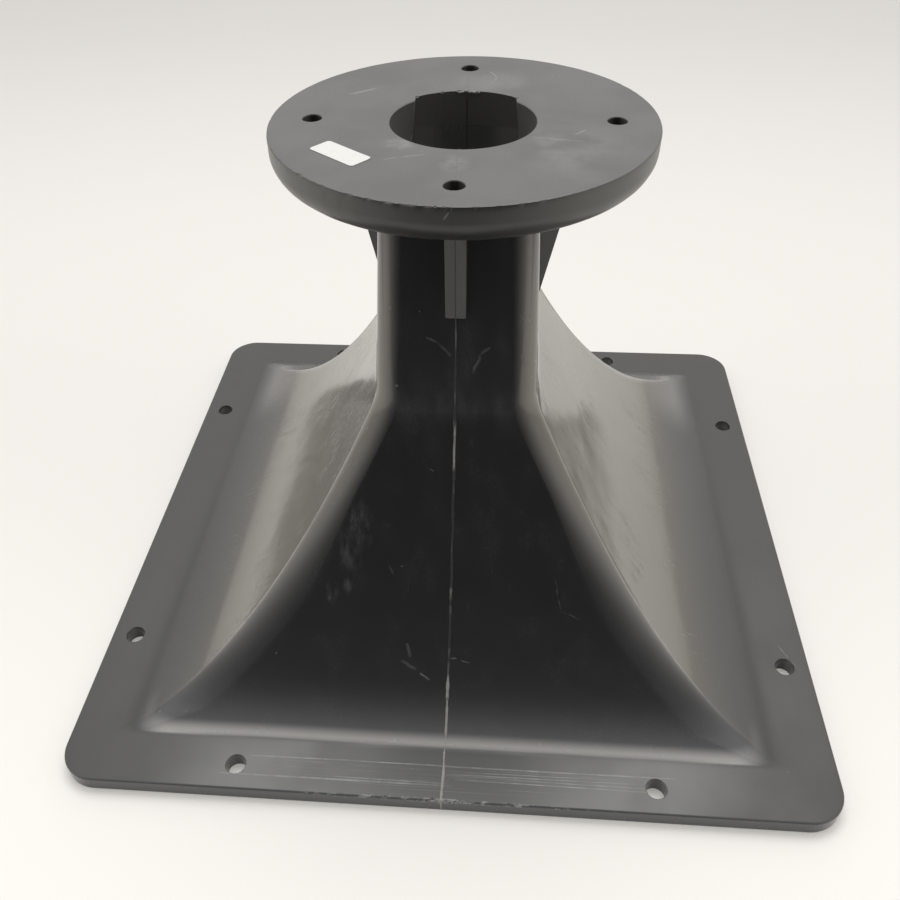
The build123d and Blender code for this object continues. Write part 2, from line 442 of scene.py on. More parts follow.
def chip_cutters():
    """Small irregular lumps that bite nicks out of the rims and the throat's rear edge."""
    rng = random.Random(7)
    spots = []
    for angle, size in ((-117, 0.55), (-108, 0.4), (-136, 0.5), (-94, 0.7), (-92, 0.5), (-58, 0.45)):
        turn = math.radians(angle)
        spots.append((DRIVER_R * math.cos(turn), DRIVER_R * math.sin(turn), HEIGHT, size))
    slot_nicks = ((-11.0, 0.6), (-8.5, 0.7), (-2.5, 0.9), (0.2, 0.8), (3.4, 0.6), (-16.8, 0.8), (17.2, 0.7))
    for x, size in slot_nicks:
        spots.append((x, math.sqrt(SLOT_REAR_R**2 - x**2), HEIGHT, size))
    half = MOUTH_SIDE / 2
    lip_nicks = ((-20.0, 0.9), (-13.5, 0.6), (-3.0, 1.0), (5.5, 0.7), (24.0, 0.8), (61.0, 0.6), (-48.0, 0.5))
    for x, size in lip_nicks:
        spots.append((x, -half, MOUTH_T, size))
    for _ in range(10):
        spots.append((half * rng.choice((-1, 1)), rng.uniform(-120, 120), MOUTH_T, rng.uniform(0.3, 0.6)))
    lumps = []
    for x, y, z, size in spots:
        bm = bmesh.new()
        bmesh.ops.create_icosphere(bm, subdivisions=2, radius=size)
        stretch = rng.uniform(0.7, 1.9)
        for vert in bm.verts:
            rough = 1 + 0.35 * noise.noise(vert.co * 1.7 / size + Vector((x, y, z)))
            vert.co = Vector((vert.co.x * stretch, vert.co.y, vert.co.z * 0.6)) * rough + Vector((x, y, z))
        lumps.append(new_object("chip", bm))
    for lump in lumps[1:]:
        combine(lumps[0], lump, "UNION")
    return lumps[0]


def half_block(sign):
    """Everything on one side of the bond."""
    bm = bmesh.new()
    bmesh.ops.create_cube(bm, size=1)
    bmesh.ops.scale(bm, vec=(200, 400, 400), verts=bm.verts)
    bmesh.ops.translate(bm, vec=(sign * (100 + BOND_GAP / 2), 0, 100), verts=bm.verts)
    return new_object("half_block", bm)


def horn_halves():
    """The two mouldings, each a closed mesh."""
    horn = outer_form()
    combine(horn, driver_flange_form(), "UNION")
    for form in gusset_forms():
        combine(horn, form, "UNION")
    for cutter in (passage_form(), throat_slot_form(), throat_entry_form(), *hole_cutters(), chip_cutters()):
        combine(horn, cutter, "DIFFERENCE")
    halves = []
    for name, sign in (("left_shell", -1), ("right_shell", 1)):
        half = bpy.data.objects.new(name, horn.data.copy())
        bpy.context.scene.collection.objects.link(half)
        combine(half, half_block(sign), "INTERSECT")
        halves.append(half)
    bpy.data.objects.remove(horn)
    return halves


def mark_ridges(obj):
    """Stores how near each vertex is to the proud edge between a side wall and a rounded corner, for a worn
    line with a painted highlight around it.

    In front, only the corner's side of the edge counts, so that the worn line is crisp on the wall.
    """
    ridge = obj.data.attributes.new("ridge", "FLOAT", "POINT")
    low = MOUTH_T + 3
    for i, vert in enumerate(obj.data.vertices):
        x, y, z = vert.co / MM
        if not low < z < FLANGE_UNDER:
            continue
        _, reach_y = band_reach(z)
        onto_corner = abs(y) - width_at(outer_panel, z) + reach_y
        if y < 0 and onto_corner < -0.1:
            continue
        away = math.hypot(abs(x) - width_at(outer_side, z), onto_corner)
        sharp = max(0.0, 1 - away / 1.1)
        # halo: a painted highlight around the edge, stronger at the rear
        halo = (0.5 if y > 50 else 0.26) * max(0.0, 1 - away / 3.2) ** 1.5
        ridge.data[i].value = max(sharp, halo) * ramp(z, low, low + 25)


def smooth(obj, angle=32):
    """Smooth shading that keeps the true edges, weighted so that flats stay flat."""
    obj.data.shade_smooth()
    obj.data.set_sharp_from_angle(angle=math.radians(angle))
    modifier = obj.modifiers.new("weighted", "WEIGHTED_NORMAL")
    modifier.keep_sharp = True
    modifier.weight = 60


# ---------------- adhesive squeeze-out and label
SEAM_TOP_Z = 139.5
SEAM_FOOT_Z = 8.0
SEAM_STEP = 0.5


def seam_route(sign):
    """(y, z) points down the outside of the joint, from under the gusset to the foot of the flange."""
    half = MOUTH_SIDE / 2
    route = []
    z = SEAM_TOP_Z
    while z >= SEAM_FOOT_Z:
        route.append((width_at(outer_panel, z), z))
        z -= SEAM_STEP
    foot_y = route[-1][0]
    for i in range(1, 60):
        y = foot_y + SEAM_STEP * i
        if y < half - FLANGE_TOP_R:
            route.append((y, MOUTH_T))
    route += [(half - 0.2, MOUTH_T - 0.25), (half, MOUTH_T - 0.9), (half, 4.0), (half, 2.5), (half, 1.0)]
    return [(sign * y, z) for y, z in route]


def seam_bead(name, sign, seed):
    """A thin uneven bead of adhesive that stands proud of the joint."""
    route = seam_route(sign)
    rings = []
    for i, (y, z) in enumerate(route):
        ahead = route[min(i + 1, len(route) - 1)]
        behind = route[max(i - 1, 0)]
        along = Vector((0, ahead[0] - behind[0], ahead[1] - behind[1])).normalized()
        out = along.cross(Vector((1, 0, 0))) * (-1 if sign > 0 else 1)
        run = i * SEAM_STEP
        swell = noise.noise(Vector((seed, run * 0.16, 0))) + 0.6 * noise.noise(Vector((seed, run * 0.7, 3)))
        drift = 0.22 * noise.noise(Vector((seed + 9, run * 0.12, 5)))
        thin = 0.55 if z > 108 else 1.0
        half_wide = max(0.22, (0.42 + 0.38 * swell) * thin)
        high = 0.10 + 0.22 * max(0.0, swell) * thin
        ring = []
        for k in range(9):
            turn = math.pi * k / 8
            spot = Vector((drift - half_wide * math.cos(turn), y, z))
            rough = 1 + 0.3 * noise.noise(Vector((k, run * 1.3, seed)))
            ring.append(tuple(spot + out * (high * rough * math.sin(turn))))
        for k in (1, 0):
            ring.append((drift + half_wide * (0.8 if k else -0.8), y - out.y * 0.25, z - out.z * 0.25))
        rings.append(ring)
    bead = new_object(name, skin_rings(rings))
    smooth(bead, 60)
    return bead


def throat_flash():
    """Crumbs of adhesive that stand on the throat's rear edge, where the joint comes out."""
    rng = random.Random(11)
    bm = bmesh.new()
    for i in range(9):
        x = rng.gauss(0.6, 2.4)
        y = math.sqrt(SLOT_REAR_R**2 - x**2) - rng.uniform(0.0, 0.5)
        size = rng.uniform(0.35, 0.85)
        made = bmesh.ops.create_icosphere(bm, subdivisions=2, radius=size)["verts"]
        for vert in made:
            rough = 1 + 0.5 * noise.noise(vert.co * 2.1 / size + Vector((i, 0, 0)))
            vert.co = Vector((vert.co.x * 1.5, vert.co.y * 0.8, vert.co.z * 0.7)) * rough
            vert.co += Vector((x, y, HEIGHT - 0.25))
    flash = new_object("throat_flash", bm)
    smooth(flash, 60)
    return flash


LABEL = {"long": 20.3, "wide": 8.5, "thick": 0.13, "corner": 1.2, "at": (-36.9, -29.0), "angle": -40.3}


def label_piece():
    """A blank paper label whose corner has begun to lift."""
    columns, rows = 60, 26
    bm = bmesh.new()
    grid = {}
    for level in (0, 1):
        for i in range(columns + 1):
            for j in range(rows + 1):
                x = (i / columns - 0.5) * LABEL["long"]
                y = (j / rows - 0.5) * LABEL["wide"]
                over_x = max(0.0, abs(x) - (LABEL["long"] / 2 - LABEL["corner"]))
                over_y = max(0.0, abs(y) - (LABEL["wide"] / 2 - LABEL["corner"]))
                reach = math.hypot(over_x, over_y)
                if over_x > 0 and over_y > 0 and reach > 0:
                    square = max(over_x, over_y)
                    x = math.copysign(abs(x) - over_x + over_x * square / reach, x)
                    y = math.copysign(abs(y) - over_y + over_y * square / reach, y)
                curl = 0.35 * max(0.0, (x + y * 1.3) / 12.0 - 0.75) ** 2
                wrinkle = 0.02 * noise.noise(Vector((x * 0.5, y * 0.7, 2)))
                z = HEIGHT + 0.01 + curl + wrinkle * level + LABEL["thick"] * level
                grid[level, i, j] = bm.verts.new((x, y, z))
    for i in range(columns):
        for j in range(rows):
            quad = ((i, j), (i + 1, j), (i + 1, j + 1), (i, j + 1))
            bm.faces.new([grid[(1, *q)] for q in quad])
            bm.faces.new([grid[(0, *q)] for q in reversed(quad)])
    rim = [(i, 0) for i in range(columns)] + [(columns, j) for j in range(rows)]
    rim += [(i, rows) for i in range(columns, 0, -1)] + [(0, j) for j in range(rows, 0, -1)]
    for a, b in zip(rim, rim[1:] + rim[:1]):
        bm.faces.new((grid[(0, *a)], grid[(0, *b)], grid[(1, *b)], grid[(1, *a)]))
    place = Matrix.Translation((*LABEL["at"], 0)) @ Matrix.Rotation(math.radians(LABEL["angle"]), 4, "Z")
    bmesh.ops.transform(bm, matrix=place, verts=bm.verts)
    label = new_object("blank_label", bm)
    smooth(label, 40)
    return label


# ---------------- shader helpers
class Shader:
    """A material under construction. Coordinates are millimetres in the row frame."""

    def __init__(self, name):
        self.material = bpy.data.materials.new(name)
        self.material.use_nodes = True
        self.tree = self.material.node_tree
        self.tree.nodes.clear()
        self.surface = self.tree.nodes.new("ShaderNodeBsdfPrincipled")
        output = self.tree.nodes.new("ShaderNodeOutputMaterial")
        self.tree.links.new(self.surface.outputs["BSDF"], output.inputs["Surface"])
        coordinates = self.tree.nodes.new("ShaderNodeTexCoord").outputs["Object"]
        self.point = self.vector("SCALE", coordinates, scale=1000.0)
        apart = self.tree.nodes.new("ShaderNodeSeparateXYZ")
        self.tree.links.new(self.point, apart.inputs[0])
        self.x, self.y, self.z = apart.outputs

    def feed(self, socket, value):
        """Links another node's output, or sets a constant."""
        if isinstance(value, bpy.types.NodeSocket):
            self.tree.links.new(value, socket)
        else:
            socket.default_value = value

    def math(self, operation, *values, clamp=False):
        """One Math node. Values are sockets or numbers."""
        node = self.tree.nodes.new("ShaderNodeMath")
        node.operation = operation
        node.use_clamp = clamp
        for socket, value in zip(node.inputs, values):
            self.feed(socket, value)
        return node.outputs[0]

    def vector(self, operation, *values, scale=None):
        """One Vector Math node."""
        node = self.tree.nodes.new("ShaderNodeVectorMath")
        node.operation = operation
        for socket, value in zip(node.inputs, values):
            self.feed(socket, value)
        if scale is not None:
            self.feed(node.inputs["Scale"], scale)
        return node.outputs["Value" if operation in ("LENGTH", "DOT_PRODUCT", "DISTANCE") else "Vector"]

    def noise(self, scale, detail=3.0, roughness=0.55, stretch=(1, 1, 1), shift=(0, 0, 0)):
        """Noise of about this many millimetres from crest to crest, longer along a stretched axis."""
        node = self.tree.nodes.new("ShaderNodeTexNoise")
        moved = self.vector("MULTIPLY", self.point, tuple(1 / s for s in stretch))
        self.feed(node.inputs["Vector"], self.vector("ADD", moved, shift))
        node.inputs["Scale"].default_value = 1 / scale
        node.inputs["Detail"].default_value = detail
        node.inputs["Roughness"].default_value = roughness
        return node.outputs[0]

    def span(self, value, low, high, out_low=0.0, out_high=1.0):
        """value taken smoothly from low..high to out_low..out_high."""
        node = self.tree.nodes.new("ShaderNodeMapRange")
        node.interpolation_type = "SMOOTHSTEP"
        for socket, number in zip(node.inputs, (value, low, high, out_low, out_high)):
            self.feed(socket, number)
        return node.outputs[0]

    def both(self, *masks):
        """Where all the masks are."""
        product = masks[0]
        for mask in masks[1:]:
            product = self.math("MULTIPLY", product, mask)
        return product

    def either(self, *masks):
        """Where any of the masks is."""
        most = masks[0]
        for mask in masks[1:]:
            most = self.math("MAXIMUM", most, mask)
        return most

    def ball(self, centre, size, soft=0.6):
        """A soft ellipsoid mask."""
        away = self.vector("SUBTRACT", self.point, centre)
        scaled = self.vector("DIVIDE", away, size)
        return self.span(self.vector("LENGTH", scaled), 1.0, soft)

    def stroke(self, start, end, width, straight=False):
        """A scratch from start to end, tapered, and wandering a little unless it is straight."""
        reach = Vector(end) - Vector(start)
        away = self.vector("SUBTRACT", self.point if straight else self.wander, start)
        along = self.vector("DOT_PRODUCT", away, tuple(reach))
        share = self.math("DIVIDE", along, reach.length_squared, clamp=True)
        nearest = self.vector("SCALE", tuple(reach), scale=share)
        gap = self.vector("LENGTH", self.vector("SUBTRACT", away, nearest))
        taper = self.math("POWER", self.math("MULTIPLY", share, self.math("SUBTRACT", 1.0, share)), 0.5)
        return self.both(self.span(gap, width, width * 0.25), self.math("MULTIPLY", taper, 2.0, clamp=True))

    def strokes(self, scratches, straight=False):
        """All of these scratches in one mask."""
        most = 0.0
        for start, end, width in scratches:
            most = self.math("MAXIMUM", most, self.stroke(start, end, width, straight))
        return most

    def mix_colour(self, share, first, second):
        """A colour between first and second."""
        node = self.tree.nodes.new("ShaderNodeMix")
        node.data_type = "RGBA"
        self.feed(node.inputs[0], share)
        self.feed(node.inputs[6], first)
        self.feed(node.inputs[7], second)
        return node.outputs[2]

    def mix(self, share, first, second):
        """A number between first and second."""
        return self.math("ADD", first, self.math("MULTIPLY", share, self.math("SUBTRACT", second, first)))

    def bump(self, height, strength, distance, under=None):
        """Relief from a height mask, on top of the relief under it."""
        node = self.tree.nodes.new("ShaderNodeBump")
        node.inputs["Strength"].default_value = strength
        node.inputs["Distance"].default_value = distance * MM
        self.feed(node.inputs["Height"], height)
        if under is not None:
            self.feed(node.inputs["Normal"], under)
        return node.outputs[0]

    def set_wander(self, scale, amount):
        """Coordinates that stray a little from the true ones, for strokes that aren't straight."""
        drift = self.tree.nodes.new("ShaderNodeTexNoise")
        drift.inputs["Scale"].default_value = scale
        self.feed(drift.inputs["Vector"], self.point)
        lateral = self.vector("SUBTRACT", drift.outputs["Color"], (0.5, 0.5, 0.5))
        self.wander = self.vector("ADD", self.point, self.vector("SCALE", lateral, scale=amount))

    def facing(self):
        """The x, y and z of the surface's own direction."""
        geometry = self.tree.nodes.new("ShaderNodeNewGeometry")
        apart = self.tree.nodes.new("ShaderNodeSeparateXYZ")
        self.tree.links.new(geometry.outputs["Normal"], apart.inputs[0])
        return apart.outputs


def rgb(value, warm=0.0):
    """A grey, warmed a little."""
    return (value * (1 + warm), value, value * (1 - warm), 1.0)


# ---------------- materials
BLACK = (0.0150, 0.0152, 0.0182, 1)
GREYER_BLACK = (0.0205, 0.0215, 0.0225, 1)
# painted sheen: the bluish reflection near the foot of the panels
PANEL_FOOT_SHEEN = (0.068, 0.070, 0.076, 1)
# painted sheen on the rear panel's foot, which is seen at grazing angles
REAR_FOOT_SHEEN = rgb(0.13, 0.03)
# painted reflection: the side walls lightened where they face sideways
WALL_SHEEN_GREY = (0.176, 0.166, 0.146, 1)
FLANGE_LEFT = rgb(0.012)
FLANGE_RIGHT = rgb(0.012, 0.25)
FLANGE_FRONT = rgb(0.066)
FACE_DARK = rgb(0.048)
FACE_LIGHT = rgb(0.066, 0.02)
FACE_SANDED = rgb(0.078, 0.01)
FACE_RUBBED = rgb(0.125, 0.02)
RIM_GREY = rgb(0.018, 0.02)
# painted light inside the throat
THROAT_PAINTED_LIGHT = rgb(0.105, 0.01)
# pale worn edges, and painted highlights around them and along the panel's foot crease
WORN_AND_HIGHLIGHT_GREY = rgb(0.38, 0.03)
MARK_GREY = (0.34, 0.345, 0.35, 1)

# single scratches as (start, end, half width): plain ones, long ones on the mouth flange, shallow ones
SCRATCHES = (
    ((-10.9, -99.2, 21.7), (-7.0, -100.9, 20.0), 0.55),
    ((0.3, -95.1, 26.1), (3.3, -95.0, 26.2), 0.3),
    ((3.3, -95.0, 26.2), (8.0, -96.0, 25.1), 0.25),
    ((-93.0, -78.0, 21.0), (-100.0, -60.0, 15.5), 0.3),
    ((130.0, -62.0, MOUTH_T), (138.0, -78.0, MOUTH_T), 0.25),
    ((-41.5, 22.5, HEIGHT), (-32.0, 29.2, HEIGHT), 0.8),
    ((23.0, -14.0, HEIGHT), (40.0, -18.0, HEIGHT), 0.35),
    ((36.5, -12.0, HEIGHT), (40.0, -8.0, HEIGHT), 0.55),
    ((-23.0, -33.4, HEIGHT), (-9.5, -28.2, HEIGHT), 0.4),
    ((7.2, 47.7, HEIGHT), (10.4, 41.0, HEIGHT), 0.4),
    ((10.4, 41.0, HEIGHT), (8.4, 34.5, HEIGHT), 0.4),
    ((-0.6, -64.9, 191.3), (-2.0, -64.9, 189.0), 0.4),
    ((-20.6, -48.9, 118.9), (-20.2, -49.1, 118.2), 0.7),
    ((-17.6, 17.0, HEIGHT), (-17.9, 17.0, 183.0), 0.5),
    ((17.6, 17.0, HEIGHT), (17.9, 17.0, 184.0), 0.5),
)
LONG_SCRATCHES = (
    ((-72.0, -128.5, MOUTH_T), (-28.0, -128.1, MOUTH_T), 0.32),
    ((-36.0, -128.3, MOUTH_T), (4.0, -128.2, MOUTH_T), 0.34),
    ((-82.0, -136.1, MOUTH_T), (4.0, -136.0, MOUTH_T), 0.45),
    ((-40.0, -134.9, MOUTH_T), (2.0, -135.2, MOUTH_T), 0.28),
    ((-4.0, -128.4, MOUTH_T), (56.0, -128.2, MOUTH_T), 0.36),
    ((26.0, -128.4, MOUTH_T), (84.0, -128.0, MOUTH_T), 0.36),
    ((0.0, -131.6, MOUTH_T), (70.0, -131.0, MOUTH_T), 0.25),
    ((8.0, -130.4, MOUTH_T), (60.0, -129.9, MOUTH_T), 0.22),
    ((20.0, -132.3, MOUTH_T), (80.0, -132.6, MOUTH_T), 0.22),
    ((4.0, -133.4, MOUTH_T), (78.0, -133.9, MOUTH_T), 0.30),
)
FAINT_SCRATCHES = (
    ((-16.1, -91.8, 30.1), (-14.6, -95.3, 25.8), 0.8),
    ((-18.0, -96.2, 24.8), (-12.3, -98.3, 22.4), 0.9),
    ((-23.5, -75.0, 54.6), (-21.8, -76.8, 51.7), 0.4),
    ((-8.9, -58.2, 88.8), (-6.8, -58.7, 87.8), 0.5),
    ((-10.1, -44.9, 136.3), (-6.0, -45.3, 134.3), 0.7),
    ((-6.0, -45.3, 134.3), (-1.5, -46.4, 129.5), 0.7),
    ((12.0, -45.6, 133.4), (8.6, -46.1, 130.9), 0.6),
    ((8.6, -46.1, 130.9), (6.1, -47.9, 123.7), 0.7),
    ((38.4, -76.6, 52.2), (41.0, -83.0, 42.0), 0.3),
    ((41.0, -83.0, 42.0), (48.3, -84.7, 39.6), 0.3),
    ((52.0, 30.0, 66.0), (60.0, 12.0, 54.0), 0.3),
    ((46.0, 22.0, 74.0), (57.0, 2.0, 59.0), 0.25),
    ((96.0, -70.0, 16.0), (108.0, -64.0, 9.5), 0.25),
)


def find_places(s):
    """Masks for the places on the moulding that look different from each other."""
    normal_x, _, normal_z = s.facing()
    sideways = s.math("ABSOLUTE", normal_x)
    level = s.span(normal_z, 0.9, 0.99)
    driver_face = s.both(s.span(s.z, HEIGHT - 0.7, HEIGHT - 0.3), s.span(normal_z, 0.8, 0.95))
    elsewhere = s.math("SUBTRACT", 1.0, driver_face)
    return SimpleNamespace(
        level=level,
        driver_face=driver_face,
        elsewhere=elsewhere,
        driver_rim=s.both(s.span(s.z, FLANGE_UNDER, FLANGE_UNDER + 1), elsewhere),
        flange_top=s.both(s.span(s.z, MOUTH_T + 0.8, MOUTH_T + 0.1), level),
        walls=s.span(sideways, 0.15, 0.5),
        # painted sheen on the side walls, by how far they face sideways
        side_wall_sheen=s.both(s.span(sideways, 0.13, 0.77), s.span(s.z, 6, 26, 0.5, 1.0)),
    )


def dust_specks(s):
    """A speck in about a third of the cells of a coarse pattern."""
    cells = s.tree.nodes.new("ShaderNodeTexVoronoi")
    cells.inputs["Scale"].default_value = 1 / 9.0
    s.feed(cells.inputs["Vector"], s.point)
    chance = s.vector("DOT_PRODUCT", cells.outputs["Color"], (1.0, 0.0, 0.0))
    return s.both(s.span(cells.outputs["Distance"], 0.045, 0.02), s.span(chance, 0.62, 0.66))


def panel_scuff(s):
    """The hazy scuff on the front panel, in four patches."""
    grain = s.noise(2.4, 4, 0.6, stretch=(1, 2.0, 4.5))
    area = s.either(
        s.ball((-35, -68, 68), (7, 12, 13), 0.2),
        s.both(s.ball((-38, -72, 60), (6, 12, 17), 0.2), 0.8),
        s.ball((-45, -81, 46), (3.0, 7, 7), 0.3),
        s.ball((-39, -79, 48), (2.2, 7, 6), 0.3),
    )
    return s.both(area, s.span(grain, 0.38, 0.74))


def flange_rubs(s, at):
    """Long rubs on the front of the mouth flange."""
    grain = s.noise(0.55, 3, 0.75, stretch=(150, 1, 1))
    right = s.ball((38, -131.2, MOUTH_T), (44, 3.8, 2), 0.8)
    left = s.both(s.ball((-30, -132.4, MOUTH_T), (40, 4.6, 2), 0.7), 0.55)
    low = s.both(s.ball((4, -136.6, MOUTH_T), (46, 2.2, 2), 0.6), 0.6)
    area = s.both(s.either(right, left, low), at.level)
    return s.both(area, s.span(grain, 0.50, 0.66), s.span(s.noise(17), 0.3, 0.5))


def worn_lip(s):
    """The front edge of the mouth flange, worn in spots."""
    area = s.ball((0, -142, MOUTH_T), (62, 1.3, 1.6), 0.6)
    return s.both(area, s.span(s.noise(2.2, 4, 0.7, stretch=(2, 1, 1)), 0.48, 0.62))


def wall_streaks(s, at):
    """Fine streaks down the side walls."""
    grain = s.noise(0.9, 3, 0.65, stretch=(9, 1, 9))
    return s.both(s.span(grain, 0.52, 0.70), at.walls, s.span(s.noise(26, 2), 0.42, 0.60))


def pale_marks(s, rubs):
    """Everything that shows paler than the plastic, each kind at its own strength."""
    long_strength = s.span(s.noise(6, 3, 0.6), 0.3, 0.7, 0.25, 0.75)
    return s.either(
        s.both(panel_scuff(s), 0.16),
        s.both(rubs, 0.42),
        s.both(worn_lip(s), 0.7),
        s.both(s.strokes(SCRATCHES), 0.34),
        s.both(s.strokes(LONG_SCRATCHES, straight=True), long_strength),
        s.both(s.strokes(FAINT_SCRATCHES), 0.14),
        s.both(dust_specks(s), 0.3),
    )


def sanding(s, at):
    """Sanding marks on the driver face, in two directions, in patches."""
    along = s.noise(0.55, 3, 0.7, stretch=(26, 1, 1), shift=(0, 4, 0))
    across = s.noise(0.6, 3, 0.7, stretch=(1.2, 22, 1), shift=(7, 0, 0))
    lines = s.span(s.math("ADD", along, across), 0.9, 1.3)
    return s.both(at.driver_face, lines, s.span(s.noise(16, 3), 0.35, 0.7))


def shell_colour(s, at, cloud):
    """Black panels with a painted sheen at the foot, a painted sheen on the side walls and on the rear foot,
    and the mouth flange.
    """
    colour = s.mix_colour(cloud, BLACK, GREYER_BLACK)
    on_panel = s.span(s.math("SUBTRACT", s.math("ABSOLUTE", s.y), s.math("ABSOLUTE", s.x)), -3, 6)
    # painted sheen, growing toward the foot of the panels
    low_sheen = s.both(s.span(s.z, 28, 5), s.span(s.z, 20, 5), on_panel)
    colour = s.mix_colour(low_sheen, colour, PANEL_FOOT_SHEEN)
    flange = s.mix_colour(s.span(s.x, 20, 120), FLANGE_LEFT, FLANGE_RIGHT)
    colour = s.mix_colour(at.flange_top, colour, flange)
    # painted sheen: the foot of the rear panel lightened
    rear_foot = s.both(s.span(s.y, 60, 95), s.span(s.z, 40, 12), s.span(s.z, 6.3, 10))
    colour = s.mix_colour(rear_foot, colour, REAR_FOOT_SHEEN)
    return s.mix_colour(at.side_wall_sheen, colour, WALL_SHEEN_GREY)


def face_colour(s, sanded):
    """The driver face, with rubbed patches around the throat."""
    rubbed = s.either(
        s.both(s.ball((34, -24, HEIGHT), (24, 30, 4), 0.1), s.span(s.noise(14, 3), 0.35, 0.65), 0.6),
        s.both(s.ball((-1, -35, HEIGHT), (6, 9, 4), 0.1), s.span(s.noise(5, 3), 0.3, 0.65)),
        s.both(s.ball((-19, -21, HEIGHT), (7, 6, 4), 0.3), s.span(s.noise(4, 3), 0.35, 0.6)),
        s.both(s.ball((10, 34, HEIGHT), (30, 20, 4), 0.1), s.span(s.noise(20, 3), 0.4, 0.7), 0.6),
    )
    colour = s.mix_colour(s.span(s.noise(28, 3), 0.35, 0.65), FACE_DARK, FACE_LIGHT)
    colour = s.mix_colour(sanded, colour, FACE_SANDED)
    return s.mix_colour(rubbed, colour, FACE_RUBBED)


def throat_walls(s, at):
    """Painted light on the inside of the throat, where it lies in shade: its walls are nearer the axis than a
    plane that leans with the neck.
    """
    neck_lean = 0.242
    lean_in = s.math("MULTIPLY", s.math("SUBTRACT", s.z, SLOT_BASE[2]), neck_lean)
    depth = s.math("ADD", s.math("ABSOLUTE", s.y), lean_in)
    beside = s.span(s.math("ABSOLUTE", s.x), 25.1, 24.8)
    return s.both(s.span(depth, 35.4, 34.6), beside, s.span(s.z, 112, 140), at.elsewhere)


def worn_and_lit_edges(s):
    """Worn proud edges between walls and corners with a painted highlight around them, and a painted
    highlight along the crease at the foot of the front panel.
    """
    ridge = s.tree.nodes.new("ShaderNodeAttribute")
    ridge.attribute_name = "ridge"
    edges = s.both(ridge.outputs["Fac"], s.span(s.noise(5, 3), 0.25, 0.6, 0.7, 1.0))
    # painted highlight: the bright concave crease along the foot of the front panel
    crease = s.both(s.span(s.z, MOUTH_T + 2.6, MOUTH_T + 0.5), s.span(s.z, MOUTH_T + 0.10, MOUTH_T + 0.3))
    crease = s.both(crease, s.span(s.y, -100, -112), s.span(s.math("ABSOLUTE", s.x), 118, 105))
    return s.either(edges, s.both(crease, 0.75))


def plastic_colour(s, at, cloud, sanded, marks):
    """The colour of the whole moulding."""
    colour = s.mix_colour(at.driver_face, shell_colour(s, at, cloud), face_colour(s, sanded))
    colour = s.mix_colour(s.both(at.driver_rim, 0.55), colour, RIM_GREY)
    colour = s.mix_colour(throat_walls(s, at), colour, THROAT_PAINTED_LIGHT)
    colour = s.mix_colour(worn_and_lit_edges(s), colour, WORN_AND_HIGHLIGHT_GREY)
    middle = s.span(s.math("ABSOLUTE", s.x), 112, 80)
    front_flange = s.both(at.flange_top, s.span(s.y, -112, -126), middle)
    colour = s.mix_colour(front_flange, colour, FLANGE_FRONT)
    return s.mix_colour(marks, colour, MARK_GREY)


def plastic_roughness(s, at, cloud, sanded, dulled):
    """Glossy walls and panels, a satin flange and rim, and a dull driver face."""
    smear = s.noise(9, 4, 0.6, stretch=(1, 1, 3.5))
    rough = s.mix(s.span(smear, 0.35, 0.7), 0.17, 0.29)
    rough = s.mix(at.walls, rough, s.mix(s.span(smear, 0.3, 0.7), 0.08, 0.12))
    rough = s.mix(at.flange_top, rough, s.mix(s.span(cloud, 0.35, 0.65), 0.34, 0.44))
    rough = s.mix(at.driver_rim, rough, 0.36)
    rough = s.mix(at.driver_face, rough, s.mix(sanded, 0.5, 0.62))
    return s.mix(dulled, rough, 0.6)


def plastic_relief(s, cloud, sanded, scored):
    """Fine grain on a slow unevenness, with the sanding and the deeper rubs cut into it."""
    relief = s.bump(s.noise(0.7, 2, 0.6), 0.06, 0.05)
    relief = s.bump(cloud, 0.25, 0.5, relief)
    relief = s.bump(sanded, 0.15, 0.03, relief)
    return s.bump(s.math("SUBTRACT", 1.0, scored), 0.35, 0.06, relief)


def moulded_plastic():
    """Black moulded plastic: glossy panels, a painted sheen on the side walls, a sanded driver face and years
    of scuffs.
    """
    s = Shader("moulded_black_plastic")
    s.set_wander(0.25, 1.4)
    at = find_places(s)
    cloud = s.noise(38, 3)
    rubs = flange_rubs(s, at)
    streaks = wall_streaks(s, at)
    marks = pale_marks(s, rubs)
    sanded = sanding(s, at)
    dulled = s.either(marks, s.both(streaks, 0.5))
    scored = s.either(rubs, s.both(streaks, 0.8))
    s.feed(s.surface.inputs["Base Color"], plastic_colour(s, at, cloud, sanded, marks))
    s.feed(s.surface.inputs["Roughness"], plastic_roughness(s, at, cloud, sanded, dulled))
    s.feed(s.surface.inputs["Normal"], plastic_relief(s, cloud, sanded, scored))
    s.surface.inputs["IOR"].default_value = 1.62
    return s.material


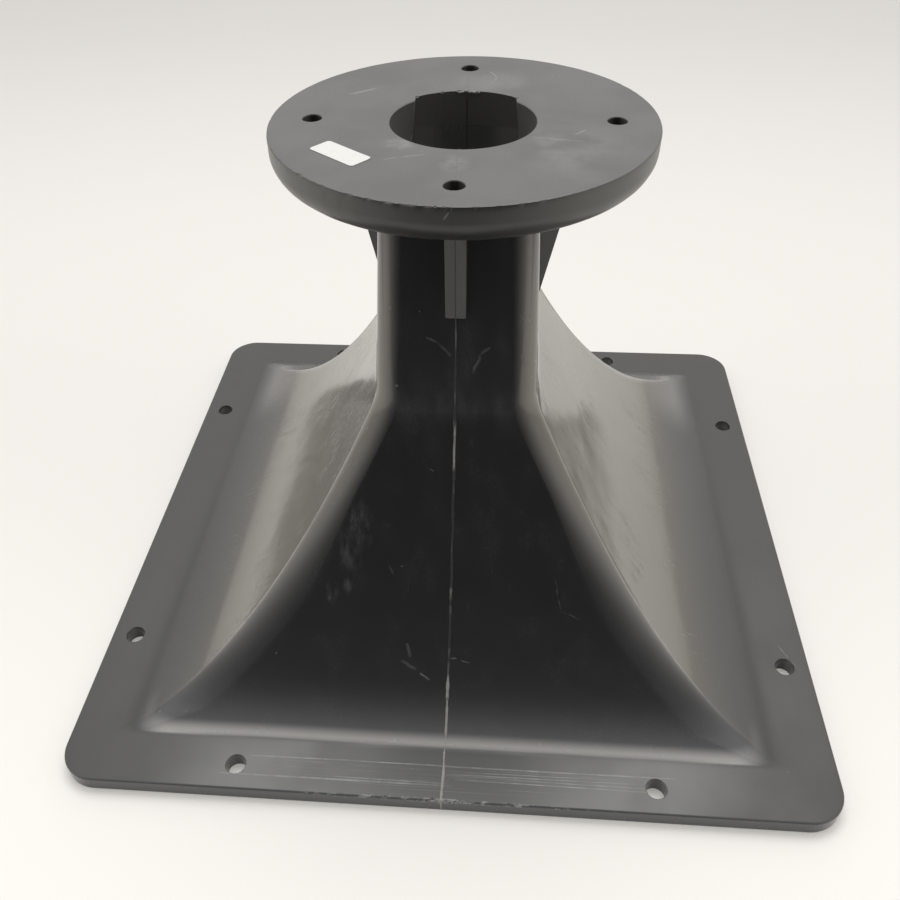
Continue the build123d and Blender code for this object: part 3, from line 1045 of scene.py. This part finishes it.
def adhesive():
    """Cured adhesive, pale in blotches down the joint, sanded to the colour of the plastic at the top."""
    s = Shader("cured_adhesive")
    blotch = s.noise(7, 3, 0.6, stretch=(1, 1, 1.8))
    fine = s.noise(0.8, 3, 0.7)
    paler = s.either(s.span(s.z, 24, 16), s.both(s.span(s.z, 108, 102), s.span(s.z, 84, 92)))
    lifted = s.math("ADD", blotch, s.math("MULTIPLY", paler, 0.22))
    pale = s.either(
        s.both(s.span(lifted, 0.50, 0.70), s.span(s.z, 128, 104)),
        s.both(s.span(s.z, 144, 141), s.span(s.z, 130, 136), s.span(blotch, 0.4, 0.6), 0.35),
        s.both(s.span(s.z, 188, 192), s.span(s.y, 20, 24), s.span(s.y, 29, 28), 0.45),
    )
    dark = s.mix_colour(s.span(s.z, 190.5, 192.2), rgb(0.030), rgb(0.072))
    tint = s.mix_colour(pale, dark, s.mix_colour(fine, rgb(0.16, 0.02), rgb(0.38, 0.03)))
    s.feed(s.surface.inputs["Base Color"], tint)
    s.feed(s.surface.inputs["Roughness"], s.mix(fine, 0.35, 0.6))
    s.surface.inputs["IOR"].default_value = 1.5
    s.surface.inputs["Subsurface Weight"].default_value = 0.15
    s.surface.inputs["Subsurface Scale"].default_value = 0.0006
    s.feed(s.surface.inputs["Normal"], s.bump(fine, 0.4, 0.08))
    return s.material


def label_paper():
    """Coated paper, a little soiled in places, with nothing printed on it."""
    s = Shader("label_paper")
    fibre = s.noise(0.35, 3, 0.65)
    soil = s.span(s.noise(3.2, 4, 0.6), 0.52, 0.75)
    white, soiled, grey = (0.62, 0.62, 0.60, 1), (0.40, 0.385, 0.35, 1), (0.5, 0.5, 0.48, 1)
    tint = s.mix_colour(s.math("MULTIPLY", soil, 0.15), white, soiled)
    tint = s.mix_colour(s.math("MULTIPLY", fibre, 0.12), tint, grey)
    s.feed(s.surface.inputs["Base Color"], tint)
    s.feed(s.surface.inputs["Roughness"], s.mix(fibre, 0.45, 0.6))
    s.feed(s.surface.inputs["Normal"], s.bump(fibre, 0.15, 0.03))
    return s.material


def studio_floor():
    """A pale matt table top with painted shade that darkens it toward the back, and a faint painted glow of
    its own.
    """
    s = Shader("studio_floor")
    faint = s.noise(60, 4, 0.6)
    tone = s.mix_colour(faint, (0.630, 0.620, 0.595, 1), (0.645, 0.634, 0.610, 1))
    # painted shade: darker toward the back
    tone = s.mix_colour(s.span(s.y, -220, 120), tone, (0.500, 0.492, 0.472, 1))
    tone = s.mix_colour(s.span(s.y, 120, 900), tone, (0.355, 0.348, 0.331, 1))
    s.feed(s.surface.inputs["Base Color"], tone)
    # painted light: a faint glow from the floor itself
    s.surface.inputs["Emission Color"].default_value = (1.0, 0.983, 0.945, 1)
    s.surface.inputs["Emission Strength"].default_value = 0.2
    s.feed(s.surface.inputs["Roughness"], s.mix(faint, 0.5, 0.62))
    return s.material


# ---------------- the object
def dress(obj, material):
    """Gives a piece its only material."""
    obj.data.materials.clear()
    obj.data.materials.append(material)


plastic = moulded_plastic()
glue = adhesive()
paper = label_paper()

left, right = horn_halves()
for half, node in ((left, "left_half_shell"), (right, "right_half_shell")):
    mark_ridges(half)
    smooth(half)
    dress(half, plastic)
    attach(half, "root")
    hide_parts(node)

for bead in (seam_bead("front_bead", -1, 2.0), seam_bead("rear_bead", 1, 5.0), throat_flash()):
    dress(bead, glue)
    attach(bead, "root")
for node in ("front_bond_seam", "rear_bond_seam"):
    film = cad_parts[node]
    film.data.materials.clear()
    film.data.materials.append(glue)

label = label_piece()
dress(label, paper)
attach(label, "root")
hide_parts("paper_label")


# ---------------- studio
def make_floor():
    """A wide pale table top. Its front edge is a little way in front of the object."""
    near, far, side = -420, 4000, 4000
    corners = ((-side, near, 0), (side, near, 0), (side, far, 0), (-side, far, 0))
    bm = bmesh.new()
    bm.faces.new([bm.verts.new(p) for p in corners])
    floor = new_object("floor", bm)
    floor.data.materials.append(studio_floor())


def make_overhead_light():
    """A large soft light above and behind the object. In metres and watts."""
    data = bpy.data.lights.new("overhead", "AREA")
    data.shape = "RECTANGLE"
    data.size, data.size_y = 1.0, 0.7
    data.energy = 7.5
    place, aim = Vector((0.0, 0.5, 1.2)), Vector((0.0, 0.0, 0.05))
    light = bpy.data.objects.new("overhead", data)
    light.location = place
    light.rotation_euler = (aim - place).to_track_quat("-Z", "Y").to_euler()
    bpy.context.scene.collection.objects.link(light)


def remap(tree, value, limits, results):
    """value taken from one pair of limits to another, in a straight line."""
    node = tree.nodes.new("ShaderNodeMapRange")
    tree.links.new(value, node.inputs[0])
    for socket, number in zip(list(node.inputs)[1:5], (*limits, *results)):
        socket.default_value = number
    return node.outputs[0]


ROOM_DIRECTION = (0.0, -0.95, 0.3)
ROOM_SHARPNESS = 1.3
ROOM_TO_SKY = (0.12, 1.3)
HORIZON_TO_ABOVE = (0.38, 1.0)
BACKDROP_STRENGTH = 0.8
STUDIO_WHITE = (1.0, 0.985, 0.955, 1)


def make_world():
    """Bright behind, above and to the sides; dim in front, where the room is. Even to the camera."""
    world = bpy.data.worlds.new("studio")
    bpy.context.scene.world = world
    world.use_nodes = True
    tree = world.node_tree
    tree.nodes.clear()
    direction = tree.nodes.new("ShaderNodeTexCoord").outputs["Generated"]

    toward_room = tree.nodes.new("ShaderNodeVectorMath")
    toward_room.operation = "DOT_PRODUCT"
    tree.links.new(direction, toward_room.inputs[0])
    toward_room.inputs[1].default_value = ROOM_DIRECTION
    bend = tree.nodes.new("ShaderNodeMath")
    bend.operation = "POWER"
    tree.links.new(remap(tree, toward_room.outputs["Value"], (0.35, 1.0), (1.0, 0.0)), bend.inputs[0])
    bend.inputs[1].default_value = ROOM_SHARPNESS
    level = remap(tree, bend.outputs[0], (0.0, 1.0), ROOM_TO_SKY)

    apart = tree.nodes.new("ShaderNodeSeparateXYZ")
    tree.links.new(direction, apart.inputs[0])
    climb = remap(tree, apart.outputs[2], (0.0, 0.5), HORIZON_TO_ABOVE)
    graded = tree.nodes.new("ShaderNodeMath")
    graded.operation = "MULTIPLY"
    tree.links.new(level, graded.inputs[0])
    tree.links.new(climb, graded.inputs[1])

    seen = tree.nodes.new("ShaderNodeLightPath").outputs["Is Camera Ray"]
    plain = tree.nodes.new("ShaderNodeMix")
    tree.links.new(seen, plain.inputs[0])
    tree.links.new(graded.outputs[0], plain.inputs[2])
    plain.inputs[3].default_value = BACKDROP_STRENGTH
    background = tree.nodes.new("ShaderNodeBackground")
    output = tree.nodes.new("ShaderNodeOutputWorld")
    tree.links.new(plain.outputs[0], background.inputs["Strength"])
    background.inputs["Color"].default_value = STUDIO_WHITE
    tree.links.new(background.outputs[0], output.inputs[0])


def make_camera():
    """Close to the object and looking down at it, from slightly to its right. In metres."""
    data = bpy.data.cameras.new("camera")
    data.sensor_width = 36.0
    data.lens = 36.23
    data.shift_x = 0.0194
    data.shift_y = 0.0257
    data.clip_start = 0.01
    eye = (0.0151, -0.3022, 0.3063)
    yaw, pitch, roll = math.radians(-5.36), math.radians(41.88), math.radians(-1.49)
    ahead = Vector((math.sin(yaw) * math.cos(pitch), math.cos(yaw) * math.cos(pitch), -math.sin(pitch)))
    level = Vector((math.cos(yaw), -math.sin(yaw), 0))
    upward = level.cross(ahead)
    across = level * math.cos(roll) + upward * math.sin(roll)
    tall = upward * math.cos(roll) - level * math.sin(roll)
    turn = Matrix((across, tall, -ahead)).transposed().to_4x4()
    camera = bpy.data.objects.new("camera", data)
    camera.matrix_world = Matrix.Translation(eye) @ turn
    bpy.context.scene.collection.objects.link(camera)
    bpy.context.scene.camera = camera


bpy.context.scene.view_settings.view_transform = "Standard"
make_floor()
make_world()
make_overhead_light()
make_camera()
